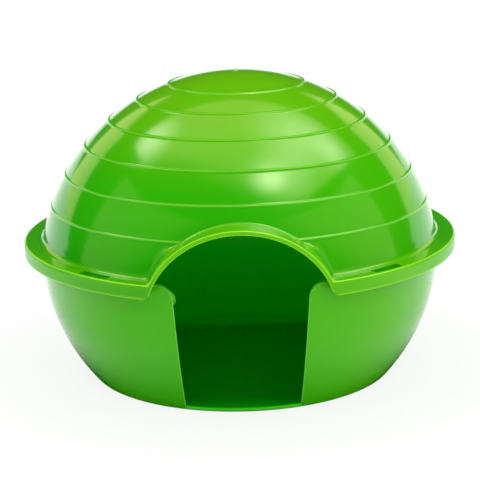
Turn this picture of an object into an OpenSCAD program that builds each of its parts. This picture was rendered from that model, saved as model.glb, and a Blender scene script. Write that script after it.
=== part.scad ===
// Rodent igloo: a lift-off dome cover over a round base bowl, both moulded plastic shells.
// Millimetres. +Z is up, the doorway faces -Y, and the origin is under the middle of the bowl.

/* [Base bowl] */
// Radius of the ball that the outside of the bowl is cut from
bowl_r = 74; // [66:0.5:80]
// Height of the bowl from the ground to its rim
bowl_h = 50; // [44:0.5:56]
// How far the widest point of the bowl lies below its rim
bowl_belly_drop = 1.8; // [0:0.1:6]
// Thickness of the bowl's wall
bowl_wall = 1.6; // [1.2:0.1:2.4]
// Thickness of the bowl's flat floor
floor_t = 1.6; // [1.2:0.1:3]
// Radius of the edge where the wall turns into the floor
floor_edge_r = 1; // [0.4:0.1:2]

/* [Bowl rim] */
// Extra thickness of the stiffening band inside the rim
band_t = 1.2; // [0.6:0.1:2]
// Height of the stiffening band, without its sloped foot
band_h = 6; // [3:0.5:10]
// How far the band's left end stands into the doorway
band_end = 0.9; // [0.3:0.1:1.5]
// Thickness of the lip that stands out under the cover's flange
lip_t = 1.6; // [1:0.1:2]
// How far the lip stands out from the bowl's ball
lip_out = 3.5; // [3:0.1:4.5]

/* [Doorway in the bowl] */
// Width of the doorway across the rim, before its corners are rounded
door_w_rim = 46.6; // [38:0.2:50]
// Width of the doorway along the floor
door_w_sill = 40.4; // [34:0.2:44]
// Radius of the two rounded corners at the rim
door_corner_r = 5; // [2:0.5:6]

/* [Dome cover] */
// How much larger the radius of the dome's ball is than that of the bowl's
dome_extra = 0.5; // [0:0.1:1]
// How far the dome's centre lies below the top of the flange
dome_centre_drop = 14.4; // [10:0.2:20]
// Thickness of the cover's walls, flange and skirt
cover_wall = 1.6; // [1.2:0.1:2.2]
// Radius of the hollow fillet where the dome stands on the flange
foot_fillet_r = 1.5; // [0.5:0.1:2.5]
// Diameter of the moulding gate's mark at the top of the dome
gate_d = 2; // [1:0.2:4]
// Height of the moulding gate's mark
gate_h = 0.3; // [0.2:0.1:0.6]

/* [Dome rings] */
// Number of raised rings round the dome
ring_count = 6; // [1:1:6]
// Angle from the dome's pole to the top ring, seen from the ball's centre
ring_first = 19.6; // [12:0.2:24]
// Angle from each ring to the next
ring_step = 9.8; // [7:0.2:10]
// Height of a ring above the dome
ring_h = 0.35; // [0.2:0.05:0.6]
// Radius of a ring's rounded crest
ring_r = 0.5; // [0.4:0.05:0.9]

/* [Skirt and hood] */
// Height of the skirt, measured from the top of the flange
skirt_h = 5; // [4:0.5:8]
// Radius of the flange's edge round the sides and the back
flange_edge_r = 1; // [0.6:0.1:1.4]
// Radius of the crisper edge between each front slot and the hood
front_edge_r = 0.35; // [0.2:0.05:0.5]
// Inside radius of the round hood over the doorway
hood_r = 32.6; // [30:0.2:34]
// Radius of the corner where the hood's edge turns into the skirt's edge
skirt_corner_r = 3; // [1:0.5:4]

/* [Slots, catches and clearances] */
// Angle from the middle of the doorway to the middle of the nearest slot
slot_angle = 40.6; // [38:0.2:50]
// Length of a slot, as an angle round the flange
slot_span = 9.4; // [6:0.2:12]
// Width of a slot, measured inwards from the skirt
slot_w = 3.4; // [2:0.1:3.8]
// How far a catch stands in from the skirt
catch_proud = 0.6; // [0.3:0.1:1]
// Room between a catch and the bowl's lip, sideways and below the lip
catch_gap = 0.3; // [0.2:0.05:0.4]
// Room between the hood's side walls and the bowl
side_gap = 0.4; // [0.3:0.05:0.8]

/* [Hidden] */
$fn = 128;
// Facets of a ring's small circle
ring_fn = 24;

leaf_green = [0.29, 0.69, 0.08];
deep_green = [0.25, 0.62, 0.10];

// A cut runs this far past the solid that it cuts
over = 1;
// A cut or a rounding bites this far into the faces that it runs along, so that they cross cleanly
bite = 0.02;

lip_r = bowl_r + lip_out;
catch_r = lip_r + catch_gap;
skirt_in_r = catch_r + catch_proud;
flange_r = skirt_in_r + cover_wall;
flange_top = bowl_h + cover_wall;
flange_mid = bowl_h + cover_wall / 2;
skirt_bottom = flange_top - skirt_h;
skirt_mid_r = skirt_in_r + cover_wall / 2;

dome_r = bowl_r + dome_extra;
dome_z = flange_top - dome_centre_drop;
hood_out_r = hood_r + cover_wall;
bowl_z = bowl_h - bowl_belly_drop;

// The band's inner face, its root in the middle of the wall, and the lowest point of its foot
band_r = bowl_r - bowl_wall - band_t;
band_root_r = bowl_r - bowl_wall / 2;
band_foot = bowl_h - band_h - (band_root_r - band_r);

catch_foot = skirt_bottom + cover_wall / 4;
slot_angles = [slot_angle, 180 - slot_angle, 180 + slot_angle, 360 - slot_angle];

// Half of a disc, right of the axis, between two heights
module ball_half(r, centre_z, low, high) {
    intersection() {
        translate([0, centre_z]) circle(r);
        translate([0, low]) square([r, high - low]);
    }
}

// What a rounded edge takes off a corner at the right and top: the square outside a disc
module edge_off(x, z, r) {
    difference() {
        translate([x - r, z - r]) square(r + over);
        translate([x - r + bite, z - r + bite]) circle(r);
    }
}

// A profile swept through an angle round the axis, counted from the doorway
module sweep(from_angle, span) {
    rotate([0, 0, from_angle - 90]) rotate_extrude(angle = span) children();
}

// A flat shape in X and Z pushed forwards from the axis to past the flange
module push_to_front() {
    rotate([90, 0, 0]) linear_extrude(height = flange_r + over) children();
}

// What the rounded edge takes off between the bowl's wall and its underside
module floor_edge_off() {
    edge_x = sqrt(pow(bowl_r - floor_edge_r, 2) - pow(bowl_z - floor_edge_r, 2));
    reach = (bowl_r + over) / (bowl_r - floor_edge_r);
    far_x = edge_x * reach;
    far_z = bowl_z - (bowl_z - floor_edge_r) * reach;
    difference() {
        polygon([[edge_x, floor_edge_r], [edge_x, -over], [far_x, -over], [far_x, far_z]]);
        translate([edge_x, floor_edge_r]) circle(floor_edge_r);
    }
}

module bowl_profile() {
    difference() {
        ball_half(bowl_r, bowl_z, 0, bowl_h);
        ball_half(bowl_r - bowl_wall, bowl_z, floor_t, bowl_h + over);
        floor_edge_off();
    }
}

// The band stiffens the rim from inside and has a sloped foot
module band_profile() {
    polygon([
        [band_r, bowl_h], [band_r, bowl_h - band_h], [band_root_r, band_foot], [band_root_r, bowl_h]
    ]);
}

// The lip stands clear of the hood's side walls, which come down in front of its ends
module bowl_lip() {
    lip_end_x = hood_out_r + side_gap;
    difference() {
        rotate_extrude() translate([band_root_r, bowl_h - lip_t]) square([lip_r - band_root_r, lip_t]);
        translate([-lip_end_x, -flange_r, bowl_h - lip_t - over])
            cube([lip_end_x * 2, flange_r, lip_t + over * 2]);
    }
}

// Right half of the doorway's outline. The jamb leans outwards and ends in a round corner.
module door_half() {
    lean = atan((door_w_rim - door_w_sill) / 2 / (bowl_h - floor_t));
    corner_z = bowl_h - door_corner_r;
    jamb_x = door_w_rim / 2 - door_corner_r * tan(lean);
    corner_x = jamb_x + (door_corner_r - bite) / cos(lean);
    difference() {
        polygon([
            [-over, floor_t], [door_w_sill / 2, floor_t], [jamb_x, corner_z],
            [corner_x, corner_z], [corner_x, bowl_h + over], [-over, bowl_h + over]
        ]);
        translate([corner_x, corner_z]) circle(door_corner_r);
    }
}

// At the left jamb the band stands further into the doorway than the wall in front of it
module doorway() {
    push_to_front() door_half();
    push_to_front() translate([band_end, 0]) mirror([1, 0]) door_half();
    difference() {
        push_to_front() mirror([1, 0]) door_half();
        translate([0, 0, band_foot]) cylinder(r = band_root_r, h = bowl_h - band_foot + over * 2);
    }
}

module base_bowl() {
    color(deep_green) difference() {
        union() {
            rotate_extrude() bowl_profile();
            rotate_extrude() band_profile();
            bowl_lip();
        }
        doorway();
    }
}

// The fillet is rooted in the middle of the dome's wall and of the flange
module foot_fillet() {
    centre_r = dome_r + foot_fillet_r - bite;
    centre_z = flange_top + foot_fillet_r - bite;
    centre_x = sqrt(pow(centre_r, 2) - pow(centre_z - dome_z, 2));
    root = (dome_r - cover_wall / 2) / centre_r;
    root_x = centre_x * root;
    difference() {
        polygon([
            [root_x, dome_z + (centre_z - dome_z) * root], [centre_x, centre_z],
            [centre_x, flange_mid], [root_x, flange_mid]
        ]);
        translate([centre_x, centre_z]) circle(foot_fillet_r);
    }
}

module rings() {
    crest = dome_r + ring_h - ring_r;
    for (i = [0:ring_count - 1]) {
        a = ring_first + ring_step * i;
        translate([crest * sin(a), dome_z + crest * cos(a)]) circle(ring_r, $fn = ring_fn);
    }
}

// Dome, flange and skirt, before the dome is hollowed
module cover_profile() {
    difference() {
        union() {
            ball_half(dome_r, dome_z, bowl_h, dome_z + dome_r + over);
            foot_fillet();
            rings();
            translate([0, bowl_h]) square([flange_r, cover_wall]);
            translate([skirt_in_r, skirt_bottom]) square([cover_wall, skirt_h]);
        }
        edge_off(flange_r, flange_top, front_edge_r);
    }
}

module hollow() {
    rotate_extrude() ball_half(dome_r - cover_wall, dome_z, bowl_h - over, dome_z + dome_r);
}

// A round block from the dome out to the skirt's own cylinder, rooted in the flange. Its side walls
// go down as far as the skirt and stand clear of the bowl.
module hood_block() {
    wall_r = bowl_r + side_gap;
    top_z = dome_z + hood_out_r + over;
    intersection() {
        rotate([90, 0, 0]) translate([0, dome_z]) cylinder(r = hood_out_r, h = flange_r + over);
        rotate_extrude() polygon([
            [0, flange_mid], [wall_r, flange_mid], [wall_r, skirt_bottom], [skirt_mid_r, skirt_bottom],
            [skirt_mid_r, flange_mid], [flange_r, flange_mid], [flange_r, top_z], [0, top_z]
        ]);
    }
}

// The cover's doorway: the hood's round hollow, with the two skirt corners rounded off
module arch_cut() {
    corner_z = skirt_bottom + skirt_corner_r;
    corner_x = sqrt(pow(hood_r + skirt_corner_r, 2) - pow(corner_z - dome_z, 2));
    rotate([90, 0, 0]) translate([0, dome_z]) cylinder(r = hood_r, h = flange_r + over);
    for (side = [0, 1]) {
        mirror([side, 0, 0]) push_to_front() difference() {
            polygon([[0, dome_z], [corner_x, corner_z], [corner_x, dome_z]]);
            translate([corner_x, corner_z]) circle(skirt_corner_r);
        }
    }
}

module slot(at) {
    sweep(at - slot_span / 2, slot_span)
        translate([skirt_in_r - slot_w, bowl_h - over]) square([slot_w + bite, cover_wall + over * 2]);
}

// A small hook under each slot, with a sloped foot that lets it ride over the lip
module catch_hook(at) {
    top_z = bowl_h - lip_t - catch_gap;
    sweep(at - slot_span / 2, slot_span)
        polygon([[catch_r, top_z], [skirt_mid_r, top_z], [skirt_mid_r, catch_foot]]);
}

// Past the front slots, the flange's edge is rounded more
module soft_edge_off() {
    from_angle = slot_angle + slot_span / 2;
    sweep(from_angle, 360 - from_angle * 2) edge_off(flange_r, flange_top, flange_edge_r);
}

module gate_mark() {
    translate([0, 0, dome_z + dome_r - cover_wall / 2])
        cylinder(d = gate_d, h = cover_wall / 2 + gate_h);
}

module dome_cover() {
    color(leaf_green) {
        difference() {
            union() {
                rotate_extrude() cover_profile();
                hood_block();
                gate_mark();
            }
            hollow();
            arch_cut();
            soft_edge_off();
            for (at = slot_angles) slot(at);
        }
        for (at = slot_angles) catch_hook(at);
    }
}

base_bowl();
dome_cover();
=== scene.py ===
# %% [markdown]
# # A rodent igloo in glossy green plastic
# The real thing is two mouldings: a round bowl with a doorway, and a dome cover that snaps onto
# it. This lesson dresses the measured model. It keeps every size, and adds the small rounded
# edges, the finish and the light that make a shell look like moulded plastic.

import math

import bmesh
import bpy
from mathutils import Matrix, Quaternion, Vector


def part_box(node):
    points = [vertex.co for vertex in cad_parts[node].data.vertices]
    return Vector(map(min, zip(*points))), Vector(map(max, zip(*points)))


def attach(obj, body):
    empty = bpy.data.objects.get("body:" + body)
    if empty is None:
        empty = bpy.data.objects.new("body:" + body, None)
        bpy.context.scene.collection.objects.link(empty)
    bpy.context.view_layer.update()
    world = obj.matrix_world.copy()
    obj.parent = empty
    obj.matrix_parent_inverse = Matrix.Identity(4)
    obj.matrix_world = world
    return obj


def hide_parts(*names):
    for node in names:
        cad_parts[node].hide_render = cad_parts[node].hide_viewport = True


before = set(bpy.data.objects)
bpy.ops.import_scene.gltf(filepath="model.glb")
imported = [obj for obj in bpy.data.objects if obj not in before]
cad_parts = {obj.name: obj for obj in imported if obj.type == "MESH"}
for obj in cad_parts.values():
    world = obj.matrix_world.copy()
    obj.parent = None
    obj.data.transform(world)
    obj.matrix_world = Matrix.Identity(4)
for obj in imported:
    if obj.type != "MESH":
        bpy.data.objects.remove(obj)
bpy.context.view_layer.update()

# %% [markdown]
# ## Sizes
# Everything is worked out in millimetres and made metres at the very end. The outer sizes come
# from the boxes of the two measured pieces, so the dressed pieces can't drift from them.

# %% Sizes from the frame
MM = 0.001
bowl_low, bowl_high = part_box("base_bowl")
cover_low, cover_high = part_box("dome_cover")
RIM_Z = round(bowl_high.z / MM, 1)
LIP_R = round(bowl_high.x / MM, 1)
FLANGE_R = round(cover_high.x / MM, 1)
SKIRT_Z = round(cover_low.z / MM, 1)
print("rim", RIM_Z, "lip", LIP_R, "flange", FLANGE_R, "skirt from", SKIRT_Z)

# %% Sizes of the shells
WALL = 1.6
BOWL_R = 74.0
BOWL_Z = RIM_Z - 1.8
DOME_R = BOWL_R + 0.5
FLANGE_Z = RIM_Z + WALL
DOME_Z = FLANGE_Z - 14.4
HOOD_R = 32.6
HOOD_OUT_R = HOOD_R + WALL
SLOT_MID, SLOT_HALF = math.radians(40.6), math.radians(4.7)
SLOT_START, SLOT_END = SLOT_MID - SLOT_HALF, SLOT_MID + SLOT_HALF
SILL_Z = WALL
SILL_X, RIM_X = 20.2, 23.3
LEAN = math.atan((RIM_X - SILL_X) / (RIM_Z - SILL_Z))
DOOR_CORNER_R = 5.0
DOOR_CORNER_Z = RIM_Z - DOOR_CORNER_R

# %% [markdown]
# ## Camera
# The camera stands in front of the doorway, a little above the object, and looks down at the
# middle of the flange. It is rolled slightly, because the right side stands higher in the view.
# Its lens is long, as in a picture for a shop, so the rings look like nearly even ellipses. The
# frame is shifted rather than the camera turned, because a turn would change their shape.

# %% Camera
CAMERA_RISE = math.radians(14.28)
CAMERA_ROLL = math.radians(-1.34)
CAMERA_DISTANCE = 645.7
SENSOR_WIDTH = 36
FRAME_PX = 480
FOCAL_PX = 1725.2
TARGET_PX = (239.44, 229.51)


def make_camera():
    away = Vector((0, -math.cos(CAMERA_RISE), math.sin(CAMERA_RISE)))
    lens = bpy.data.cameras.new("camera")
    lens.sensor_width = SENSOR_WIDTH
    lens.lens = FOCAL_PX / FRAME_PX * lens.sensor_width
    lens.shift_x = (FRAME_PX / 2 - TARGET_PX[0]) / FRAME_PX
    lens.shift_y = (TARGET_PX[1] - FRAME_PX / 2) / FRAME_PX
    camera = bpy.data.objects.new("camera", lens)
    camera.rotation_mode = "QUATERNION"
    camera.location = (Vector((0, 0, FLANGE_Z)) + away * CAMERA_DISTANCE) * MM
    camera.rotation_quaternion = (-away).to_track_quat("-Z", "Y") @ Quaternion((0, 0, 1), CAMERA_ROLL)
    bpy.context.scene.collection.objects.link(camera)
    bpy.context.scene.camera = camera
    return camera


camera = make_camera()
bpy.context.scene.view_settings.view_transform = "Standard"
print("camera at", [round(c, 3) for c in camera.location])

# %% [markdown]
# ## Shader maths as Python
# A material is a graph of nodes. Wiring it by hand hides the idea behind it, so a small class
# wraps a socket and lets numbers and sockets be added and multiplied like plain values.

# %% A socket that can be used in sums
class Link:
    """One output of a shader node, usable in sums."""

    def __init__(self, shader, socket):
        self.shader, self.socket = shader, socket

    def math(self, operation, *values):
        """A Math node with this value first, then the others."""
        inputs = dict(enumerate((self, *values)))
        return self.shader.add("ShaderNodeMath", {"operation": operation}, inputs)

    def __add__(self, other):
        return self.math("ADD", other)

    def __neg__(self):
        return self.math("MULTIPLY", -1.0)

    def __sub__(self, other):
        return self.math("SUBTRACT", other)

    def __rsub__(self, other):
        return -self + other

    def __mul__(self, other):
        return self.math("MULTIPLY", other)

    def __truediv__(self, other):
        return self.math("DIVIDE", other)

    __radd__, __rmul__ = __add__, __mul__

    def size(self):
        """The value without its sign."""
        return self.math("ABSOLUTE")

    def capped(self):
        """The value, but never more than 1."""
        return self.math("MINIMUM", 1.0)

    def ramp(self, start, end):
        """0 before start, 1 after end, and a smooth rise between them."""
        return self.shader.add(
            "ShaderNodeMapRange",
            {"interpolation_type": "SMOOTHSTEP"},
            {"Value": self, "From Min": start, "From Max": end},
        )


def length_of(*values):
    """Length of a line with these parts along the axes."""
    return sum(value * value for value in values).math("SQRT")


def past(value, limit, soft):
    """0 below a limit, 1 above it, with a step of a given softness."""
    return value.ramp(limit - soft, limit + soft)


def window(value, low, high, soft):
    """1 between two values, with edges of a given softness."""
    return past(value, low, soft) * (1 - past(value, high, soft))


# %% A tree of nodes that is written line by line
class Shader:
    """The node tree of a material or of the world."""

    def __init__(self, owner):
        owner.use_nodes = True
        self.tree = owner.node_tree
        self.tree.nodes.clear()

    def add(self, kind, settings=None, inputs=None, out=0):
        """A node, with its settings first, then the values or links of its sockets."""
        node = self.tree.nodes.new(kind)
        for key, value in (settings or {}).items():
            setattr(node, key, value)
        for key, value in (inputs or {}).items():
            if isinstance(value, Link):
                self.tree.links.new(value.socket, node.inputs[key])
            else:
                node.inputs[key].default_value = value
        return Link(self, node.outputs[out]) if node.outputs else node

    def mix(self, factor, first, second):
        """A colour between two. The node's colour sockets go by number, as their names repeat."""
        return self.add(
            "ShaderNodeMix",
            {"data_type": "RGBA"},
            {0: factor, 6: first, 7: second},
            out=2,
        )

    def axes(self, point):
        """The three parts of a vector."""
        split = self.add("ShaderNodeSeparateXYZ", inputs={0: point}).socket.node
        return [Link(self, socket) for socket in split.outputs]

    def place(self):
        """A point in its own piece: as a vector in metres, and its x, y and z in millimetres."""
        point = self.add("ShaderNodeTexCoord", out=3)
        return point, [axis / MM for axis in self.axes(point)]

    def ray(self, *kinds):
        """1 for a ray of one of these kinds, otherwise 0."""
        path = self.add("ShaderNodeLightPath").socket.node
        return sum(Link(self, path.outputs[f"Is {kind} Ray"]) for kind in kinds).capped()


print("sums of sockets:", [name for name in vars(Link) if not name.startswith("_")])

# %% [markdown]
# ## Floor
# The object stands on white. Near it, the floor mixes a little real paint into plain white
# light, so the object keeps a faint shadow. The glossy plastic sees the floor too: brightest
# beside and behind the object, and dark close to its foot, where its own shade lies. All of it
# follows from a point's distance and direction from the middle, so it holds for every view.

# %% White floor
FLOOR_SIZE = 6000
FLOOR_LIGHT = 1.03
FLOOR_PAINT, PAINT_FADE = 0.18, (300, 1000)
PAPER_WHITE, PURE_WHITE = (0.9, 0.9, 0.9, 1), (1.0, 1.0, 1.0, 1)
FLOOR_GLOSS, FRONT_SHARE = 1.6, 0.6
FOOT_SHADE = (56, 86)
BESIDE_TURN, BESIDE_REACH = (math.radians(45), math.radians(85)), (70, 170)
STRIP_FROM, STRIP_TO, STRIP_SOFT = math.radians(117), math.radians(142), math.radians(1)
GAP_FROM, GAP_REACH = math.radians(100), (200, 400)


def floor_in_gloss(x, y):
    """How bright the plastic sees the floor. It has a gap before the strips behind the sides."""
    reach = length_of(x, y)
    turn = x.math("ARCTAN2", -y).size()
    beside = turn.ramp(*BESIDE_TURN) * reach.ramp(*BESIDE_REACH)
    gap = window(turn, GAP_FROM, STRIP_FROM, STRIP_SOFT) * reach.ramp(*GAP_REACH)
    return reach.ramp(*FOOT_SHADE) * (beside * (1 - FRONT_SHARE) + FRONT_SHARE) * (1 - gap)


def floor_material():
    material = bpy.data.materials.new("floor_white")
    shader = Shader(material)
    x, y = shader.place()[1][:2]
    painted = (1 - length_of(x, y).ramp(*PAINT_FADE)) * FLOOR_PAINT
    paint = shader.add("ShaderNodeBsdfDiffuse", inputs={"Color": PAPER_WHITE})
    light, gloss = (
        shader.add("ShaderNodeEmission", inputs={"Color": PURE_WHITE, "Strength": strength})
        for strength in (FLOOR_LIGHT, FLOOR_GLOSS)
    )
    plain = shader.ray("Camera") * (1 - painted)
    plain = shader.add("ShaderNodeMixShader", inputs={0: plain, 1: paint, 2: light})
    gloss = shader.add("ShaderNodeMixShader", inputs={0: floor_in_gloss(x, y), 2: gloss})
    seen = shader.ray("Glossy", "Transmission")
    surface = shader.add("ShaderNodeMixShader", inputs={0: seen, 1: plain, 2: gloss})
    shader.add("ShaderNodeOutputMaterial", inputs={"Surface": surface})
    return material


def make_floor():
    mesh = bpy.data.meshes.new("floor")
    bm = bmesh.new()
    bmesh.ops.create_grid(bm, x_segments=1, y_segments=1, size=FLOOR_SIZE / 2 * MM)
    bm.to_mesh(mesh)
    bm.free()
    mesh.materials.append(floor_material())
    floor = bpy.data.objects.new("floor", mesh)
    bpy.context.scene.collection.objects.link(floor)


make_floor()
print("floor", FLOOR_SIZE * MM, "m wide")

# %% [markdown]
# ## The studio round the object
# Glossy plastic is mostly a picture of the room it stands in. Lamps could be hung about it, but
# their outlines are hard and their light can't fade across their width. Here the room is painted
# on the sky as a formula: each ray's direction says whether it meets the soft box overhead with
# its bright spots, one of the strips behind the sides, one of the two dim panels left and right
# in front, or the white backdrop low down. The camera itself sees plain white.

# %% The soft box, in the ray's steps to the right and to the rear for each step up
BOX_LEFT, BOX_RIGHT, BOX_SLANT, BOX_SIDE_SOFT = -0.93, 1.04, 0.35, 0.03
BOX_REAR, BOX_REAR_SOFT = 0.68, 0.02
BOX_FRONT_FADE = (-0.95, -0.45)
BOX_CORNER_SLANT, BOX_CORNER_FADE = 0.8, (-0.75, -0.3)
BOX_LIGHT, BOX_DIM_FROM, BOX_DIM = 3.9, -0.1, 0.5
BOX_SPOTS = [
    (-0.74, 0.42, 0.40, 8.5),
    (0.90, 0.30, 0.36, 6.0),
    (0.52, 0.20, 0.55, 6.0),
    (0.44, -0.36, 0.50, 6.5),
    (0.31, -0.44, 0.26, 14.0),
]


def box_window(side, rear):
    """1 inside the box, whose right side slants."""
    inside = past(side, BOX_LEFT, BOX_SIDE_SOFT) * (1 - past(rear, BOX_REAR, BOX_REAR_SOFT))
    return inside * (1 - past(side - rear * BOX_SLANT, BOX_RIGHT, BOX_SIDE_SOFT))


def box_light(side, rear):
    """The box's own light, which fades to the front and is dimmer at the rear."""
    fade = (rear + side * BOX_CORNER_SLANT).ramp(*BOX_CORNER_FADE) * rear.ramp(*BOX_FRONT_FADE)
    return fade * BOX_LIGHT * (1 - rear.ramp(BOX_DIM_FROM, BOX_REAR) * BOX_DIM)


def box_spots(side, rear):
    """Round spots, brightest in their middles. Each has a place, a reach and a light."""
    return sum(
        (1 - length_of(side - spot_side, rear - spot_rear).ramp(0, reach)) * light
        for spot_side, spot_rear, reach, light in BOX_SPOTS
    )


print("soft box", BOX_LIGHT, "with", len(BOX_SPOTS), "spots")

# %% Strips, panels and backdrop
STRIP_LIGHT, STRIP_SLANT = 2.1, 0.59
STRIP_FOOT, STRIP_TOP, STRIP_END_SOFT = 0.10, 0.60, 0.04
PANELS = [(-101, -21, 0.81, 1.3), (23, 99, 0.80, 1.6)]
PANEL_SOFT, PANEL_TOP_SOFT = math.radians(1.5), 0.02
PANEL_FOOT_TURN, PANEL_FOOT_FADE = math.radians(60), (0.0, 0.5)
HORIZON_FADE = (0.05, 0.10)
LOW_WHITE, BACKDROP_FADE = 1.5, (0.06, 0.14)
DARK_STUDIO = 0.02
WARM_WHITE = (1.0, 0.82, 0.42, 1)


def front_panels(azimuth, slope):
    """Two dim panels. Each has a first and a last angle, a top and a light."""
    panels = sum(
        window(azimuth, math.radians(first), math.radians(last), PANEL_SOFT)
        * (1 - past(slope, top, PANEL_TOP_SOFT)) * light
        for first, last, top, light in PANELS
    )
    return panels * (azimuth.size() - PANEL_FOOT_TURN + slope).ramp(*PANEL_FOOT_FADE)


def studio_light(x, y, z):
    """What a ray meets: warm light from the box, panels and strips, and white light."""
    rise = z.math("MAXIMUM", HORIZON_FADE[0])
    side, rear = x / rise, y / rise
    overhead = box_window(side, rear) * z.ramp(*HORIZON_FADE)
    azimuth = x.math("ARCTAN2", -y)
    slope = z / (1 - z * z).math("SQRT")
    leaning = azimuth.size() - slope * STRIP_SLANT
    strips = window(leaning, STRIP_FROM, STRIP_TO, STRIP_SOFT) * STRIP_LIGHT
    strips = strips * window(slope, STRIP_FOOT, STRIP_TOP, STRIP_END_SOFT)
    backdrop = (1 - z.ramp(*BACKDROP_FADE)) * past(leaning, STRIP_FROM, STRIP_SOFT) * LOW_WHITE
    warm = box_light(side, rear) * overhead + front_panels(azimuth, slope) + strips
    return warm, box_spots(side, rear) * overhead + backdrop + DARK_STUDIO


def make_world():
    world = bpy.data.worlds.new("studio")
    bpy.context.scene.world = world
    world.cycles_visibility.diffuse = False
    shader = Shader(world)
    direction = shader.add("ShaderNodeTexCoord", out=0)
    warm, white = studio_light(*shader.axes(direction))
    camera_ray = shader.ray("Camera")
    others = 1 - camera_ray
    lights = [
        shader.add("ShaderNodeBackground", inputs={"Color": colour, "Strength": strength})
        for colour, strength in ((WARM_WHITE, warm * others), (PURE_WHITE, white * others + camera_ray))
    ]
    both = shader.add("ShaderNodeAddShader", inputs=dict(enumerate(lights)))
    shader.add("ShaderNodeOutputWorld", inputs={"Surface": both})
    return world


world = make_world()
print("studio painted with", len(world.node_tree.nodes), "nodes")

# %% [markdown]
# ## Lamps
# The studio above is only seen in the gloss. The plastic's own colour is lit by plain lamps that
# no mirror shows: a wide one overhead, others in front, at the sides and behind, and a small
# green one in the house, for the light that the thin walls let through.

# %% Lamps, in metres: azimuth, rise, distance, width, height and light
MIDDLE = Vector((0, 0, FLANGE_Z * MM))
LAMPS = {
    "lamp_top": (0, 89, 1.2, 2.4, 2.4, 1.25),
    "lamp_front": (12, 22, 2.0, 2.5, 1.6, 1.65),
    "lamp_left": (-90, 20, 2.0, 1.6, 1.6, 1.4),
    "lamp_right": (90, 20, 2.0, 1.6, 1.6, 1.4),
    "lamp_back": (180, 25, 2.0, 2.0, 1.6, 0.9),
}
HOUSE_PLACE, HOUSE_LAMP_SIZE = Vector((0, 0.005, 0.080)), 0.02
HOUSE_LIGHT, HOUSE_GREEN = 0.022, (0.02, 1.0, 0.02)


def hang(name, data, place):
    """Hangs a lamp that neither the camera nor the gloss sees."""
    lamp = bpy.data.objects.new(name, data)
    lamp.location = place
    lamp.visible_camera = False
    lamp.visible_glossy = False
    bpy.context.scene.collection.objects.link(lamp)
    return lamp


def soft_lamp(name, azimuth, rise, distance, width, height, radiance):
    """A flat lamp that faces the object. Azimuth 0 is the camera's side, 90 the right."""
    side, up = math.radians(azimuth), math.radians(rise)
    toward = Vector((math.sin(side) * math.cos(up), -math.cos(side) * math.cos(up), math.sin(up)))
    data = bpy.data.lights.new(name, "AREA")
    data.shape = "RECTANGLE"
    data.size, data.size_y = width, height
    data.energy = radiance * math.pi * width * height
    lamp = hang(name, data, MIDDLE + toward * distance)
    lamp.rotation_mode = "QUATERNION"
    lamp.rotation_quaternion = (-toward).to_track_quat("-Z", "Y")


def house_lamp():
    """Light that the thin walls let into the house."""
    data = bpy.data.lights.new("house_lamp", "POINT")
    data.shadow_soft_size = HOUSE_LAMP_SIZE
    data.color = HOUSE_GREEN
    data.energy = HOUSE_LIGHT
    hang("house_lamp", data, HOUSE_PLACE)


for name, settings in LAMPS.items():
    soft_lamp(name, *settings)
house_lamp()

# %% [markdown]
# ## Green plastic
# The plastic is coloured right through, glossy, and a little see-through, so light that comes
# in at the top leaves it yellower and the shaded inside turns a deeper green. A real light path
# through thin walls takes long to render, so the plastic is solid here, and that light and shade
# are painted into its greens: painted light on the top, the thin parts and the doorway's edges,
# painted shade at the foot and inside. A very faint waviness, as moulded walls have, keeps
# reflections from looking ruled.

# %% Greens with painted light and shade, from the dome to the bowl's sill
# Painted light and shade of the dome: lit top, half-lit middle, shaded foot
TOP_GREEN = (0.135, 0.500, 0.0005, 1)
MIDDLE_GREEN = (0.028, 0.440, 0.0005, 1)
SHADE_GREEN = (0.016, 0.380, 0.0005, 1)
# Painted light of the hood, rings and flange, also laid on the lit sides
LIT_GREEN = (0.120, 0.520, 0.0005, 1)
# Deeper greens where the trim's painted light is dropped: the flange's sides and the face left of its
# middle
SIDE_GREEN = (0.050, 0.450, 0.0005, 1)
FACE_GREEN = (0.050, 0.400, 0.0005, 1)
# Painted highlights along the front face's outlines
HIGHLIGHT_GREEN = (0.230, 0.760, 0.003, 1)
# Painted highlight on the rings' crests
RING_HIGHLIGHT_GREEN = (0.105, 0.580, 0.002, 1)
# Painted shade inside the dome and the bowl
INSIDE_SHADE_GREEN = (0.002, 0.420, 0.0005, 1)
# Painted light inside the bowl near its rim
INSIDE_LIT_GREEN = (0.008, 0.720, 0.008, 1)
# Painted shade on the bowl's inside floor
FLOOR_SHADE_GREEN = (0.001, 0.210, 0.0005, 1)
# Painted light on the bowl's upper part
BOWL_LIT_TOP_GREEN = (0.050, 0.460, 0.0005, 1)
BOWL_GREEN = (0.042, 0.440, 0.0005, 1)
# Painted highlight on the doorway's cut edge
CUT_HIGHLIGHT_GREEN = (0.165, 0.700, 0.045, 1)
# Painted highlight on the front of the sill
SILL_HIGHLIGHT_GREEN = (0.075, 0.740, 0.020, 1)

# %% Glossy plastic
CLOUD_SCALE, WAVE_SCALE, GRAIN_SCALE, GRAIN_SHARE = 22.0, 45.0, 900.0, 0.02
CLOUD_DETAIL, WAVE_DETAIL, GRAIN_DETAIL = 2.0, 1.0, 3.0
WAVE_STRENGTH, WAVE_DEPTH = 0.25, 0.06
ROUGHNESS, CLOUD_ROUGHNESS, MATT_ROUGHNESS = 0.09, 0.05, 0.22
PLASTIC_IOR, PLASTIC_SHINE = 1.5, 0.3
WARM_SHINE = (1.0, 0.9, 0.7, 1)


def noise(shader, point, scale, detail):
    inputs = {"Vector": point, "Scale": scale, "Detail": detail}
    return shader.add("ShaderNodeTexNoise", {"noise_dimensions": "3D"}, inputs)


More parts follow.
